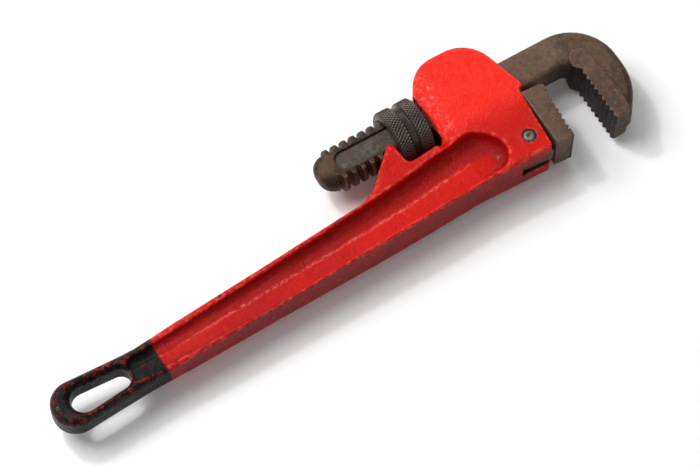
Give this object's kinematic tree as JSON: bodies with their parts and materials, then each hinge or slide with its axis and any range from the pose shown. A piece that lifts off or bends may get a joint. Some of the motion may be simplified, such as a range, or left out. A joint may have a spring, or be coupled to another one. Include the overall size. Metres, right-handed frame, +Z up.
{
  "type": "pipe wrench",
  "caption": "Heavy cast handle pipe wrench lying on its side, with an adjustable hook jaw, knurled nut, toothed heel jaw and hang slot.",
  "frame": {"origin": "middle of the underside of the part's bounding box at rest, where the nut touches the surface it lies on", "axes": "+X along the hook jaw's shank towards the jaws, +Y from the handle's side towards the nut's open side, +Z up out of the wrench's flat side"},
  "size_m": [0.425, 0.1048, 0.04],
  "materials": {
    "red_casting": "worn gloss red paint on rough cast iron, with the last part of the handle dipped black",
    "jaw_steel": "forged, oxidised brown and slightly rusty",
    "nut_steel": "dark, worn and oily",
    "pin_steel": "dull",
    "spring_steel": "satin"
  },
  "bodies": {
    "wrench": {"handle_housing": "red_casting", "heel_jaw": "jaw_steel", "heel_jaw_pin": "pin_steel"},
    "rocker": {"flat_spring": "spring_steel", "spring_rivet": "spring_steel", "coil_spring": "spring_steel"},
    "hook": {"hook_jaw": "jaw_steel"},
    "nut": {"adjusting_nut": "nut_steel"}
  },
  "joints": [
    {"name": "jaw_rock", "type": "hinge", "parent": "wrench", "child": "rocker", "pos_m": [0.06851, 0.02165, 0.02], "axis": [0, 0, 1], "range_deg": [0, 4], "stiffness_Nm_per_rad": 3, "springref_deg": -14.32, "deforming": ["coil_spring"]},
    {"name": "hook_slide", "type": "slide", "parent": "rocker", "child": "hook", "axis": [1, 0, 0], "range_m": [-0.024, 0.038]},
    {"name": "nut_spin", "type": "hinge", "parent": "rocker", "child": "nut", "pos_m": [0.06851, 0.02165, 0.02], "axis": [-1, 0, 0], "range_deg": [-1314.1, 2077.7]}
  ],
  "couplings": [
    {"joint": "nut_spin", "follows": "hook_slide", "rad_per_m": 952}
  ]
}
